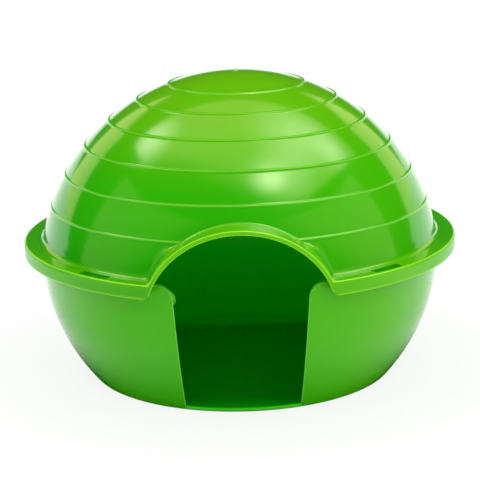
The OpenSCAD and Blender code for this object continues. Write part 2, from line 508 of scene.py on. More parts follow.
def moulded(name, paint):
    """Glossy plastic. paint gives its colour and how matt it is there."""
    material = bpy.data.materials.new(name)
    shader = Shader(material)
    point, (x, y, z) = shader.place()
    cloud = noise(shader, point, CLOUD_SCALE, CLOUD_DETAIL)
    grain = noise(shader, point, GRAIN_SCALE, GRAIN_DETAIL) * GRAIN_SHARE
    waves = noise(shader, point, WAVE_SCALE, WAVE_DETAIL) + grain
    bump = {"Strength": WAVE_STRENGTH, "Distance": WAVE_DEPTH * MM, "Height": waves}
    colour, matt = paint(shader, x, y, z, cloud - 0.5)
    surface = shader.add(
        "ShaderNodeBsdfPrincipled",
        inputs={
            "Base Color": colour,
            "Roughness": cloud * CLOUD_ROUGHNESS + matt * MATT_ROUGHNESS + ROUGHNESS,
            "IOR": PLASTIC_IOR,
            "Specular IOR Level": PLASTIC_SHINE,
            "Specular Tint": WARM_SHINE,
            "Normal": shader.add("ShaderNodeBump", inputs=bump),
        },
    )
    shader.add("ShaderNodeOutputMaterial", inputs={"Surface": surface})
    return material


print("waves", WAVE_DEPTH, "mm deep")

# %% [markdown]
# ## Where each green lies on the cover
# Light gathers in thin edges, so the rings' crests, the hood and the flange look brighter than
# the dome's wall, and the inside looks the deepest. That light and shade are painted here: painted
# highlights on the crests and outlines, painted light on the hood and flange, painted shade inside
# and in the slots. Such places could be painted by hand, but then they wouldn't follow a change
# of size. Here each is a distance from a ball, a tube or a plane, in millimetres, and a ramp over
# that distance is its mask.

# %% Broad greens of the cover
CLOUD_RISE = 10
DOME_FOOT_FADE, DOME_TOP_FADE = (52, 80), (76, 112)
# The right side gets a share of painted light.
RIGHT_FADE, RIGHT_SHARE = (-10, 60), 0.28
FLANGE_SIDE_FADE = (-60, -10)
FACE_LEFT_FADE, FACE_RIGHT_FADE, FACE_REAR_FADE = (-78, -52), (-20, 90), (-50, -20)
FACE_TOP_FADE = (48.5, 56.0)


def dome_green(shader, x, z, cloud):
    """Painted shade at the dome's foot, painted light on top and towards the right."""
    height = z + cloud * CLOUD_RISE
    colour = shader.mix(height.ramp(*DOME_FOOT_FADE), SHADE_GREEN, MIDDLE_GREEN)
    colour = shader.mix(height.ramp(*DOME_TOP_FADE), colour, TOP_GREEN)
    return shader.mix(x.ramp(*RIGHT_FADE) * RIGHT_SHARE, colour, LIT_GREEN)


def trim_green(shader, x, y, z, low):
    """Of the hood, rings and flange: painted light, deeper green at the flange's sides and left of its
    middle.
    """
    colour = shader.mix(y.ramp(*FLANGE_SIDE_FADE) * low, LIT_GREEN, SIDE_GREEN)
    middle = x.ramp(*FACE_LEFT_FADE) * (1 - x.ramp(*FACE_RIGHT_FADE))
    middle = middle * (1 - y.ramp(*FACE_REAR_FADE)) * (1 - z.ramp(*FACE_TOP_FADE))
    return shader.mix(middle, colour, FACE_GREEN)


print("the dome turns yellower from", DOME_TOP_FADE[0], "to", DOME_TOP_FADE[1], "mm")

# %% Thin painted highlights, hood flanks and slots
BEHIND_FADE, FAR_AWAY = (-10, 10), 1000
THIN_LINE, FOOT_LINE, FOOT_LINE_SHARE = (0.15, 0.45), (0.5, 1.0), 0.3
FLANK_LOW_FADE, FLANK_TOP_FADE = (FLANGE_Z + 0.8, FLANGE_Z + 2.5), (60.5, 62.5)
FLANK_REAR_FADE = (-45, -35)
FLANK_REACH, ROOT_REACH = (DOME_R + 1.0, DOME_R + 4.5), (DOME_R + 0.05, DOME_R + 0.3)
SLOT_EDGE, SLOT_SOFT, SLOT_DEPTH = 0.004, 0.002, 0.3


def edge_highlight(x, y, z):
    """Painted highlights, thin bright lines along the front face's outlines: the flange, the hood, arch
    and skirt.
    """
    arch = length_of(x, z - DOME_Z) + y.ramp(*BEHIND_FADE) * FAR_AWAY
    outer = (FLANGE_Z - z).math("MAXIMUM", HOOD_OUT_R - arch)
    depth = outer.math("MINIMUM", arch - HOOD_R).math("MINIMUM", z - SKIRT_Z)
    foot = 1 - (z - SKIRT_Z).ramp(*FOOT_LINE)
    return 1 - depth.ramp(*THIN_LINE) + foot * FOOT_LINE_SHARE


def flank_masks(y, z, reach):
    """The hood's flank, which gets a painted glow, and its whole root beside the dome."""
    flank = z.ramp(*FLANK_LOW_FADE) * (1 - z.ramp(*FLANK_TOP_FADE))
    flank = flank * (1 - y.ramp(*FLANK_REAR_FADE))
    return flank * reach.ramp(*FLANK_REACH), flank * reach.ramp(*ROOT_REACH)


def slot_walls(x, y, z):
    """The walls of the slots, below the flange's top, which get painted shade."""
    turn = x.size().math("ARCTAN2", y.size())
    slot = window(turn, SLOT_START - SLOT_EDGE, SLOT_END + SLOT_EDGE, SLOT_SOFT)
    return slot * (1 - z.ramp(FLANGE_Z - SLOT_DEPTH, FLANGE_Z))


print("edge lines", THIN_LINE[1], "mm wide")

# %% All greens of the cover together
LOW_FADE, FACE_FADE = (FLANGE_Z + 0.4, FLANGE_Z + 1.2), (FLANGE_R - 0.8, FLANGE_R - 0.4)
PROUD_FADE, PROUD_FROM = (DOME_R + 0.08, DOME_R + 0.26), (60.0, 62.2)
CREST_LOW, CREST_TOP, CREST_SOFT, CREST_FROM = DOME_R + 0.27, DOME_R + 0.50, 0.06, (62.2, 63.0)
INNER_SKIN, RIM_SOFT = (1.1, 0.6), 0.2


def inner_skin(reach, radius):
    """1 on the inner side of a ball-shaped wall."""
    return 1 - reach.ramp(radius - INNER_SKIN[0], radius - INNER_SKIN[1])


def paint_cover(shader, x, y, z, cloud):
    reach = length_of(x, y, z - DOME_Z)
    face = length_of(x, y).ramp(*FACE_FADE)
    low = 1 - z.ramp(*LOW_FADE)
    edge = (reach.ramp(*PROUD_FADE) * z.ramp(*PROUD_FROM) + low + face).capped()
    flank, root = flank_masks(y, z, reach)
    crest = window(reach, CREST_LOW, CREST_TOP, CREST_SOFT) * z.ramp(*CREST_FROM)
    # Painted light and shade of the dome, with a painted glow on the hood's flank.
    colour = shader.mix(flank * (1 - edge), dome_green(shader, x, z, cloud), LIT_GREEN)
    # The hood, the raised rings, the flange and the face get painted light.
    colour = shader.mix(edge, colour, trim_green(shader, x, y, z, low))
    # The rings' crests get a painted highlight.
    colour = shader.mix(crest, colour, RING_HIGHLIGHT_GREEN)
    # Painted highlights along the front face's outlines.
    colour = shader.mix((edge_highlight(x, y, z) * face).capped(), colour, HIGHLIGHT_GREEN)
    # Painted shade on the slots' walls.
    colour = shader.mix(slot_walls(x, y, z) * (1 - face), colour, SHADE_GREEN)
    # The dome's inner side gets painted shade.
    inner = inner_skin(reach, DOME_R) * past(z, RIM_Z, RIM_SOFT)
    return shader.mix(inner, colour, INSIDE_SHADE_GREEN), (face + crest + root).capped()


cover_plastic = moulded("cover_green", paint_cover)
print(cover_plastic.name, "has", len(cover_plastic.node_tree.nodes), "nodes")

# %% [markdown]
# ## Where each green lies on the bowl
# The bowl has painted light that makes it yellower towards its sides and its rim. Its inside has
# painted shade, deepest on the floor. Where the wall is cut for the doorway, light that has run
# along inside the plastic comes out, so the cut edge and the front of the sill get painted
# highlights and are the brightest. They could be pieces of their own with brighter plastic, but
# then a seam would show. Masks keep the wall whole.

# %% Masks of the doorway's painted highlights
DOOR_REAR_FADE, SILL_REAR_FADE = (-48, -44), (-40, -30)
CUT_FADE, CUT_FROM = (0.1, 0.4), (1.7, 2.6)
SILL_FRONT, SILL_TOP, SILL_END = (56.4, 56.8), (1.6, 2.0), (SILL_X, SILL_X + 0.3)


def cut_edge(x, y, z):
    """The doorway's sides with their round corners, which get a painted highlight: distance from the
    cut, towards the wall.
    """
    across = x.size() - SILL_X - (z.math("MINIMUM", DOOR_CORNER_Z) - SILL_Z) * math.tan(LEAN)
    beside = (DOOR_CORNER_R - across).math("MAXIMUM", 0.0)
    above = (z - DOOR_CORNER_Z).math("MAXIMUM", 0.0)
    depth = DOOR_CORNER_R - length_of(beside, above)
    return (1 - depth.ramp(*CUT_FADE)) * (1 - y.ramp(*DOOR_REAR_FADE)) * z.ramp(*CUT_FROM)


def sill_front(x, y, z):
    """The front of the sill, between the doorway's sides, which gets a painted highlight."""
    front = length_of(x, y).ramp(*SILL_FRONT) * (1 - z.ramp(*SILL_TOP))
    return front * (1 - y.ramp(*SILL_REAR_FADE)) * (1 - x.size().ramp(*SILL_END))


print("cut edge painted", CUT_FADE[1], "mm wide")

# %% All greens of the bowl together
BOWL_CLOUD_RISE, BOWL_FADE = 30, (0, 50)
ASIDE_FADE, BOWL_SHARE = (15, 60), 0.3
INSIDE_FADE, INSIDE_FROM = (0, 40), (0.6, 1.0)
FLOOR_TOP, FLOOR_REAR_FADE, FLOOR_FRONT_FADE = (1.8, 2.4), (37, 46), (-60, -45)


def paint_bowl(shader, x, y, z, cloud):
    # Painted light on the bowl's upper part, and towards its sides and right.
    colour = shader.mix((z + cloud * BOWL_CLOUD_RISE).ramp(*BOWL_FADE), BOWL_GREEN, BOWL_LIT_TOP_GREEN)
    sides = x.size().ramp(*ASIDE_FADE) + x.ramp(*RIGHT_FADE)
    colour = shader.mix(sides * BOWL_SHARE, colour, LIT_GREEN)
    # Painted shade inside the bowl, with painted light rising towards the rim.
    inside = shader.mix(z.ramp(*INSIDE_FADE), INSIDE_SHADE_GREEN, INSIDE_LIT_GREEN)
    # Deeper painted shade on the inside floor, fading out towards the doorway and the rear.
    shaded = (1 - z.ramp(*FLOOR_TOP)) * (1 - y.ramp(*FLOOR_REAR_FADE)) * y.ramp(*FLOOR_FRONT_FADE)
    inside = shader.mix(shaded, inside, FLOOR_SHADE_GREEN)
    inner = inner_skin(length_of(x, y, z - BOWL_Z), BOWL_R) * z.ramp(*INSIDE_FROM)
    colour = shader.mix(inner, colour, inside)
    # The front of the sill gets a painted highlight.
    colour = shader.mix(sill_front(x, y, z), colour, SILL_HIGHLIGHT_GREEN)
    # The doorway's cut edge gets a painted highlight.
    edge = cut_edge(x, y, z)
    return shader.mix(edge, colour, CUT_HIGHLIGHT_GREEN), edge


bowl_plastic = moulded("bowl_green", paint_bowl)
print(bowl_plastic.name, "has", len(bowl_plastic.node_tree.nodes), "nodes")

# %% [markdown]
# ## Helpers for both shells
# Both shells are made the same way. A profile of a few dozen points is spun about the upright
# axis, every point remembers its row in the profile, and then the points near the doorway are
# led to their places by a rule. Only half is made, and a mirror gives the other half. A boolean
# of simple solids would be quicker to write, but it leaves no even rows to round and shade.

# %% Blends and spun points
ON_AXIS = 1e-6


def blend(start, end, share):
    return start + (end - start) * share


def ease(value, start, end):
    """0 before start, 1 after end, and a smooth rise between them."""
    share = min(max((value - start) / (end - start), 0), 1)
    return share * share * (3 - 2 * share)


def soft_min(first, second, width):
    """The smaller value, with the corner between the two rounded over a width."""
    near = max(width - abs(first - second), 0)
    return min(first, second) - near * near / (4 * width)


def spun(angle, radius, z):
    """A point at an angle from the doorway's middle."""
    return Vector((radius * math.sin(angle), -radius * math.cos(angle), z))


def turn_of(point):
    """Angle from the doorway's middle, from 0 to half a turn."""
    return math.atan2(abs(point.x), -point.y) if point.xy.length > ON_AXIS else 0.0


print("halfway from 1 to 3:", blend(1, 3, 0.5), "and eased:", ease(2, 1, 3))


# %% Spin a profile row by row
def spin(bm, geom, angle, steps):
    """Spins vertices, edges or faces about the upright axis, and returns the last copy."""
    made = bmesh.ops.spin(
        bm, geom=geom, cent=(0, 0, 0), axis=(0, 0, 1), dvec=(0, 0, 0), angle=angle, steps=steps,
        use_merge=False, use_normal_flip=False, use_duplicate=False,
    )
    return made["geom_last"]


def spin_rows(profile, arcs):
    """Half a turn of a profile of (radius, z). Arcs are pairs of an end angle and its steps."""
    bm = bmesh.new()
    row = bm.verts.layers.int.new("row")
    verts = [bm.verts.new((0, -radius, z)) for radius, z in profile]
    for index, vert in enumerate(verts):
        vert[row] = index
    geom = verts + [bm.edges.new(pair) for pair in zip(verts, verts[1:])]
    start = 0
    for end, steps in arcs:
        geom = spin(bm, geom, end - start, steps)
        start = end
    return bm


def faces_between(bm, first_row, last_row, start, end):
    """Faces whose corners lie between two rows of the profile and two angles."""
    row = bm.verts.layers.int["row"]
    found = []
    for face in bm.faces:
        rows = [vert[row] for vert in face.verts]
        middle = turn_of(face.calc_center_median())
        if min(rows) >= first_row and max(rows) <= last_row and start < middle < end:
            found.append(face)
    return found


print("spin ready, for profiles of (radius, z)")

# %% Close a half and put it in its place
ON_MIRROR, SAME_POINT = 0.01, 0.002
SHARP = math.radians(40)


def finish_piece(bm, name, body, node, material, one_sided=None):
    """Mirrors the half, closes it, turns it into metres and puts it in its CAD node's place."""
    for vert in bm.verts:
        if abs(vert.co.x) < ON_MIRROR:
            vert.co.x = 0
    half = bm.verts[:] + bm.edges[:] + bm.faces[:]
    bmesh.ops.mirror(bm, geom=half, axis="X", merge_dist=SAME_POINT / 2)
    if one_sided:
        one_sided(bm)
    bmesh.ops.remove_doubles(bm, verts=bm.verts, dist=SAME_POINT)
    bmesh.ops.dissolve_degenerate(bm, dist=SAME_POINT / 2, edges=bm.edges)
    bmesh.ops.recalc_face_normals(bm, faces=bm.faces)
    open_edges = sum(not edge.is_manifold for edge in bm.edges)
    bmesh.ops.scale(bm, vec=(MM, MM, MM), verts=bm.verts)
    for face in bm.faces:
        face.smooth = True
    mesh = bpy.data.meshes.new(name)
    bm.to_mesh(mesh)
    bm.free()
    mesh.set_sharp_from_angle(angle=SHARP)
    mesh.materials.append(material)
    piece = bpy.data.objects.new(name, mesh)
    bpy.context.scene.collection.objects.link(piece)
    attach(piece, body)
    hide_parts(node)
    triangles = sum(len(face.vertices) - 2 for face in mesh.polygons)
    print(name, "has", triangles, "triangles and", open_edges, "open edges")


print("edges sharper than", round(math.degrees(SHARP)), "degrees stay sharp")

# %% [markdown]
# ## The dome cover: one rule for the whole skin
# The cover is a ball-shaped dome with six raised rings, a flat flange and a short skirt. Over
# the doorway a round hood grows out of it. The hood could be a second solid, united with the
# dome, but then the joint is a hard line. Here one function tells how far a point lies outside
# the skin. Each point near the joint slides along its slope until it lies on the skin, so the
# hood's flanks flow into the dome and the flange, and stay crisp above the lowest ring.

# %% Sizes of the rings, the hood and their fillets
RING_TILTS = [math.radians(19.6 + 9.8 * index) for index in range(6)]
RING_H, RING_HALF = 0.35, 0.62
GATE_R, GATE_H, GATE_EDGE = 1.0, 0.3, 0.25
FOOT_BLEND, CREASE_BLEND = 1.8, 0.7
FLANK_FOOT_BLEND, FLANK_BLEND = 1.2, 2.5
FLANK_FOOT_Z, FLANK_TOP_Z, CREASE_Z = FLANGE_Z + 1.0, 61.5, 64.3
CREASE_R = 33.3
CREASE_Y = math.sqrt(DOME_R**2 - CREASE_R**2)
TAPER = (HOOD_OUT_R - CREASE_R) / (FLANGE_R - CREASE_Y)
CENTRE = Vector((0, 0, DOME_Z))
PROBE, SLIDES = 0.01, 3


def raised(tilt):
    """How far the rings and the gate's mark stand out at an angle from the pole."""
    along = tilt * DOME_R
    if along < GATE_R + GATE_EDGE:
        return GATE_H * (1 - ease(along, GATE_R - GATE_EDGE, GATE_R))
    off = min(abs(tilt - ring) for ring in RING_TILTS) * DOME_R
    return RING_H * (1 + math.cos(math.pi * off / RING_HALF)) / 2 if off < RING_HALF else 0.0


def hood_and_flange(x, z):
    """Outline of the front, seen straight on: the hood's round top, blended into the flange."""
    return soft_min(math.hypot(x, z - DOME_Z) - HOOD_OUT_R, z - FLANGE_Z, FOOT_BLEND)


def hood_skin(point):
    """Distance outside the hood, and how wide it blends into the dome at that height."""
    flank = ease(point.z, FLANK_FOOT_Z, FLANK_TOP_Z)
    top = ease(point.z, FLANK_TOP_Z, CREASE_Z)
    width = blend(blend(FLANK_FOOT_BLEND, FLANK_BLEND, flank), CREASE_BLEND, top)
    radius = HOOD_OUT_R - TAPER * top * (FLANGE_R - point.xy.length)
    return math.hypot(point.x, point.z - DOME_Z) - radius, width


def skin(point):
    """How far a point lies outside the cover's upper skin."""
    spoke = point - CENTRE
    dome = spoke.length - DOME_R - raised(spoke.angle(Vector((0, 0, 1)), 0.0))
    if point.y < 0:
        dome = soft_min(dome, *hood_skin(point))
    return soft_min(dome, point.z - FLANGE_Z, FOOT_BLEND)


def settle(point):
    """Slides a point along the skin's slope until it lies on the skin."""
    steps = [Vector(axis) * PROBE for axis in ((1, 0, 0), (0, 1, 0), (0, 0, 1))]
    for _ in range(SLIDES):
        here = skin(point)
        slope = Vector([(skin(point + step) - here) / PROBE for step in steps])
        point = point - slope * (here / slope.length_squared)
    return point


print("the crest of the lowest ring is", round(DOME_Z + DOME_R * math.cos(RING_TILTS[-1]), 2), "high")

# %% [markdown]
# ## The two front outlines
# Seen straight on, the front is a band between two outlines. The outer one runs along the
# flange's edge and climbs over the hood. The inner one is the skirt's lower edge, which turns
# up round a small corner into the arch. Both are given by the same angle, so that a column of
# the spun mesh always finds its place on each of them.

# %% Outer and inner outline of the front
LAST_TILT = RING_TILTS[-1] + RING_HALF / DOME_R
REAR_Y = math.sqrt((DOME_R - WALL) ** 2 - HOOD_R**2)
HOOD_TURN = math.acos(CREASE_Y / (DOME_R * math.sin(LAST_TILT)))
FOOT_R = math.sqrt(DOME_R**2 - (FLANGE_Z - DOME_Z) ** 2)
FOOT_X = math.sqrt(HOOD_OUT_R**2 - (FLANGE_Z - DOME_Z) ** 2)
FLANK_TURN = math.asin(FOOT_X / FOOT_R)
OUTLINE_TURN = FLANK_TURN + math.radians(10)
SPOKE_FROM, SPOKE_FULL = FLANK_TURN - math.radians(1), FLANK_TURN + math.radians(4)
HOOD_PHI = math.acos(CREASE_Y * math.tan(HOOD_TURN) / HOOD_OUT_R)
FOOT_PHI = math.asin((FLANGE_Z - DOME_Z) / HOOD_OUT_R)
DOWN_SHARE = 0.62
SKIRT_CORNER_R = 3.0
CORNER_Z = SKIRT_Z + SKIRT_CORNER_R
CORNER_X = math.sqrt((HOOD_R + SKIRT_CORNER_R) ** 2 - (CORNER_Z - DOME_Z) ** 2)
CORNER_PHI = math.atan2(CORNER_Z - DOME_Z, CORNER_X)


def flank_share(turn):
    """0 where the hood's crease ends, 1 where the flank's foot meets the dome's."""
    return min(max((turn - HOOD_TURN) / (FLANK_TURN - HOOD_TURN), 0), 1)


def hood_phi(turn, lowest):
    """Angle about the hood's own axis, from level to straight up, down to a lowest one."""
    if turn <= HOOD_TURN:
        return math.acos(CREASE_Y * math.tan(turn) / HOOD_OUT_R)
    return blend(HOOD_PHI, lowest, min(flank_share(turn) / DOWN_SHARE, 1))


def side_share(turn):
    """0 until the outline has come down to the flange, then rising to 1."""
    return max(flank_share(turn) - DOWN_SHARE, 0) / (1 - DOWN_SHARE)


def outer_outline(turn):
    """x and z of the outer outline, and the way out of the plastic there."""
    if turn > OUTLINE_TURN:
        return FLANGE_R * math.sin(turn), FLANGE_Z, 0.0, 1.0
    if turn >= FLANK_TURN:
        x, z = FLANGE_R * math.sin(turn), FLANGE_Z
    else:
        phi = hood_phi(turn, FOOT_PHI)
        x, z = HOOD_OUT_R * math.cos(phi), DOME_Z + HOOD_OUT_R * math.sin(phi)
        x = blend(x, FLANGE_R * math.sin(FLANK_TURN), side_share(turn))
    for _ in range(SLIDES):
        here = hood_and_flange(x, z)
        slope_x = (hood_and_flange(x + PROBE, z) - here) / PROBE
        slope_z = (hood_and_flange(x, z + PROBE) - here) / PROBE
        size = math.hypot(slope_x, slope_z)
        x, z = x - slope_x * here / size**2, z - slope_z * here / size**2
    return x, z, slope_x / size, slope_z / size


def inner_outline(turn):
    """The same for the arch, the skirt's corner and the skirt's lower edge."""
    if turn >= FLANK_TURN:
        return FLANGE_R * math.sin(turn), SKIRT_Z, 0.0, -1.0
    phi = hood_phi(turn, FOOT_PHI)
    arch_left = HOOD_R * (FOOT_PHI - CORNER_PHI)
    corner = SKIRT_CORNER_R * (math.pi / 2 - CORNER_PHI)
    straight = FLANGE_R * math.sin(FLANK_TURN) - CORNER_X
    gone = side_share(turn) * (arch_left + corner + straight)
    if gone > arch_left + corner:
        return CORNER_X + gone - arch_left - corner, SKIRT_Z, 0.0, -1.0
    if gone > arch_left:
        phi = CORNER_PHI + (gone - arch_left) / SKIRT_CORNER_R
        out_x, out_z = -math.cos(phi), -math.sin(phi)
        return CORNER_X + SKIRT_CORNER_R * out_x, CORNER_Z + SKIRT_CORNER_R * out_z, out_x, out_z
    phi -= gone / HOOD_R
    return HOOD_R * math.cos(phi), DOME_Z + HOOD_R * math.sin(phi), -math.cos(phi), -math.sin(phi)


def at_front(x, z, radius, turn):
    """A point at a height and a radius: straight behind x at the doorway, on the spoke beyond."""
    spoke = ease(turn, SPOKE_FROM, SPOKE_FULL)
    if spoke == 1:
        return spun(turn, radius, z)
    return spun(blend(math.asin(x / radius), turn, spoke), radius, z)


print("the hood's crease ends", round(math.degrees(HOOD_TURN), 1), "degrees from the middle")

# %% [markdown]
# ## Rows of the cover
# A row is a line that runs once round the cover. Far from the doorway it is a plain circle; at
# the doorway it climbs over the hood. The rows are listed from the pole of the dome outwards,
# over the edge, down the skirt, and back along the inside to the pole again.

# %% Rows from the pole to the foot of the dome
EDGE_SOFT, EDGE_CRISP, CRISP_FADE = 1.0, 0.5, math.radians(2)
SKIRT_EDGE = 0.3
KNEE_DEPTH = 1.2
SLOT_W = 3.4
SKIRT_IN_R = FLANGE_R - WALL
SLOT_IN_R = SKIRT_IN_R - SLOT_W


def dome_row(tilt):
    """A circle on the dome. The rows below the fifth ring are pressed up by the hood."""
    upper = RING_TILTS[-2] + RING_HALF / DOME_R

    def place(turn):
        lowest = LAST_TILT
        if turn < HOOD_TURN:
            lowest = math.asin(CREASE_Y / (DOME_R * math.cos(turn)))
        here = tilt if tilt <= upper else blend(upper, lowest, (tilt - upper) / (LAST_TILT - upper))
        reach = DOME_R + raised(here)
        point = spun(turn, reach * math.sin(here), DOME_Z + reach * math.cos(here))
        return settle(point) if tilt > upper else point

    return place


print("skirt from", SKIRT_IN_R, "and slots from", SLOT_IN_R, "mm out")


# %% Rows from the foot line to the flange's outer edge
def knee(turn):
    """The foot line: of the dome at the sides, of the hood's flank, then over the hood's top."""
    if turn >= FLANK_TURN:
        return spun(turn, FOOT_R, FLANGE_Z)
    phi = hood_phi(turn, FOOT_PHI)
    x, z = HOOD_OUT_R * math.cos(phi), DOME_Z + HOOD_OUT_R * math.sin(phi)
    front_y = -math.sqrt((FLANGE_R - KNEE_DEPTH) ** 2 - x * x)
    return Vector((x, blend(front_y, -CREASE_Y, side_share(turn)), z))


def lower_row(share):
    """Between the lowest ring and the foot line."""
    top = dome_row(LAST_TILT)
    return lambda turn: settle(top(turn).lerp(knee(turn), share))


def edge_radius(turn):
    """The flange's edge is crisp from the doorway to past the front slots, and softer behind."""
    return blend(EDGE_CRISP, EDGE_SOFT, ease(turn, SLOT_END, SLOT_END + CRISP_FADE))


def outer_edge_row(angle):
    """Round the outer edge, from the top (a right angle) to the face (0)."""
    def place(turn):
        x, z, out_x, out_z = outer_outline(turn)
        radius = edge_radius(turn)
        inward = radius * (1 - math.sin(angle))
        depth = radius * (1 - math.cos(angle))
        return at_front(x - out_x * inward, z - out_z * inward, FLANGE_R - depth, turn)

    return place


def flange_row(radius):
    """A circle on top of the flange, which turns into a line just behind the hood's edge."""
    share = (radius - FOOT_R) / (FLANGE_R - EDGE_CRISP - FOOT_R)
    edge = outer_edge_row(math.pi / 2)

    def place(turn):
        if turn > SPOKE_FULL:
            return settle(spun(turn, radius, FLANGE_Z))
        return settle(knee(turn).lerp(edge(turn), share))

    return place


print("flange from", round(FOOT_R, 2), "to", FLANGE_R, "mm out")


# %% Rows of the front face, the skirt's edge and the inside
def inner_edge_row(angle):
    """Round the arch's and the skirt's lower edge, from the face (0) to inside (a right angle)."""
    def place(turn):
        x, z, out_x, out_z = inner_outline(turn)
        inward = SKIRT_EDGE * (1 - math.sin(angle))
        depth = SKIRT_EDGE * (1 - math.cos(angle))
        return at_front(x - out_x * inward, z - out_z * inward, FLANGE_R - depth, turn)

    return place


def face_row(share):
    """Between the two outlines, on the round front face."""
    def place(turn):
        upper, lower = outer_edge_row(0)(turn), inner_edge_row(0)(turn)
        x, z = blend(upper.x, lower.x, share), blend(upper.z, lower.z, share)
        if turn >= FLANK_TURN:
            return spun(turn, FLANGE_R, z)
        return at_front(x, z, FLANGE_R, turn)

    return place


def arch_row(depth):
    """Straight in from the lower edge, along the tunnel or under the skirt."""
    def place(turn):
        x, z = inner_outline(turn)[:2]
        return at_front(x, z, FLANGE_R - depth, turn)

    return place


INNER_R = DOME_R - WALL
INNER_TILT = math.acos((RIM_Z - DOME_Z) / INNER_R)
TUNNEL_PHI = math.asin((RIM_Z - DOME_Z) / HOOD_R)


def inner_row(share):
    """A row of the dome's inside. Share 0 is its lower edge, 1 the pole."""
    def place(turn):
        lowest = INNER_TILT
        if math.cos(turn) > REAR_Y / (INNER_R * math.sin(INNER_TILT)):
            lowest = math.asin(REAR_Y / (INNER_R * math.cos(turn)))
        here = lowest * (1 - share)
        return spun(turn, INNER_R * math.sin(here), DOME_Z + INNER_R * math.cos(here))

    return place


def under_corner(turn):
    """Where the flange's underside meets the skirt, and at the doorway the tunnel."""
    if turn >= FLANK_TURN:
        return spun(turn, SKIRT_IN_R, RIM_Z)
    phi = hood_phi(turn, TUNNEL_PHI)
    x, z = HOOD_R * math.cos(phi), DOME_Z + HOOD_R * math.sin(phi)
    x = blend(x, SKIRT_IN_R * math.sin(FLANK_TURN), side_share(turn))
    radius = blend(SKIRT_IN_R - WALL, SKIRT_IN_R, flank_share(turn))
    return Vector((x, -math.sqrt(radius**2 - x * x), z))


def under_row(radius):
    """Under the flange, or along the tunnel."""
    inside_r = INNER_R * math.sin(INNER_TILT)
    share = (SKIRT_IN_R - radius) / (SKIRT_IN_R - inside_r)
    return lambda turn: under_corner(turn).lerp(inner_row(0)(turn), share)


# %% [markdown]
# ## Spin the cover and cut its slots
# The rings get eight rows each, because their thin highlights are what the eye reads first.
# The slots are holes in the mesh whose top and bottom outlines are bridged. A mould needs them
# to shape the small hooks below, which snap past the bowl's lip on the real cover.

# %% Rows in their order
RING_OFFSETS = [-0.62, -0.46, -0.30, -0.10, 0.10, 0.30, 0.46, 0.62]
GATE_STEPS = [0.0, 0.4, 0.75, 0.84, 0.92, 1.0, 1.25]
BETWEEN_RINGS = [0.03, 0.2, 0.4, 0.6, 0.8, 0.97]
LOWER_SHARES = [0.02, 0.045, 0.08, 0.14] + [0.22 + 0.08 * step for step in range(6)]
LOWER_SHARES += [0.7, 0.77, 0.83, 0.88, 0.92, 0.95, 0.98]
FLANGE_ROOT_R = 73.4
FLANGE_RADII = [FLANGE_ROOT_R, 73.8, 74.2, 74.6, SLOT_IN_R, 76.7, SKIRT_IN_R, 78.75]
EDGE_ANGLES = [math.radians(angle) for angle in (90, 60, 30, 0)]
FACE_SHARES = [0.05, 0.35, 0.65, 0.95]
ARCH_LEDGE = 0.45
CAP_STEPS, INNER_STEPS = 10, 20


def cover_rows():
    tilts = [step / DOME_R for step in GATE_STEPS]
    start = tilts[-1]
    for ring in RING_TILTS:
        first = ring - RING_HALF / DOME_R
        cap = ring == RING_TILTS[0]
        shares = [step / CAP_STEPS for step in range(1, CAP_STEPS)] if cap else BETWEEN_RINGS
        tilts += [blend(start, first, share) for share in shares]
        tilts += [ring + offset / DOME_R for offset in RING_OFFSETS]
        start = tilts[-1]
    rows = [dome_row(tilt) for tilt in tilts]
    rows += [lower_row(share) for share in LOWER_SHARES] + [lambda turn: settle(knee(turn))]
    slot_top = [len(rows) + FLANGE_RADII.index(radius) for radius in (SLOT_IN_R, SKIRT_IN_R)]
    rows += [flange_row(radius) for radius in FLANGE_RADII]
    rows += [outer_edge_row(angle) for angle in EDGE_ANGLES]
    rows += [face_row(share) for share in FACE_SHARES]
    rows += [inner_edge_row(angle) for angle in reversed(EDGE_ANGLES)]
    rows += [arch_row(ARCH_LEDGE), arch_row(WALL)]
    slot_under = [len(rows), len(rows) + 1]
    rows += [under_row(radius) for radius in (SKIRT_IN_R, SLOT_IN_R, FLANGE_ROOT_R)]
    rows += [inner_row(step / INNER_STEPS) for step in range(INNER_STEPS + 1)]
    return rows, slot_top, slot_under


print(len(cover_rows()[0]), "rows in the cover's profile")

# %% Slots through the flange
SLOT_MIDDLES = [SLOT_MID, math.pi - SLOT_MID]


def outline_of(faces):
    """Edges between these faces and others."""
    inside = set(faces)
    edges = [edge for face in faces for edge in face.edges]
    return [edge for edge in edges if any(other not in inside for other in edge.link_faces)]


def cut_slots(bm, slot_top, slot_under):
    """Opens the holes and returns the upper and lower outline of each."""
    pairs = []
    for middle in SLOT_MIDDLES:
        pair = []
        for first, last in (slot_top, slot_under):
            faces = faces_between(bm, first, last, middle - SLOT_HALF, middle + SLOT_HALF)
            pair.append(outline_of(faces))
            bmesh.ops.delete(bm, geom=faces, context="FACES")
        pairs.append(pair)
    return pairs


print("slots", round(math.degrees(2 * SLOT_HALF), 1), "degrees long and", SLOT_W, "mm wide")

# %% Hooks and side walls
CATCH_GAP = 0.3
CATCH_R = LIP_R + CATCH_GAP
CATCH_TOP = RIM_Z - WALL - CATCH_GAP
CATCH_FOOT = SKIRT_Z + WALL / 4
CATCH_STEPS = 8
SIDE_R = BOWL_R + 0.4
SIDE_SETBACK = 0.03
SIDE_STEPS, HOOD_SIDE_STEPS = 64, 8


def add_catch(bm, middle):
    """A hook under a slot: a three-cornered profile, spun over the slot's length."""
    root_r = SKIRT_IN_R + WALL / 2
    corners = [(CATCH_R, CATCH_TOP), (root_r, CATCH_TOP), (root_r, CATCH_FOOT)]
    verts = [bm.verts.new(spun(middle - SLOT_HALF, radius, z)) for radius, z in corners]
    start = bm.faces.new(verts)
    spin(bm, verts + start.edges[:] + [start], 2 * SLOT_HALF, CATCH_STEPS)


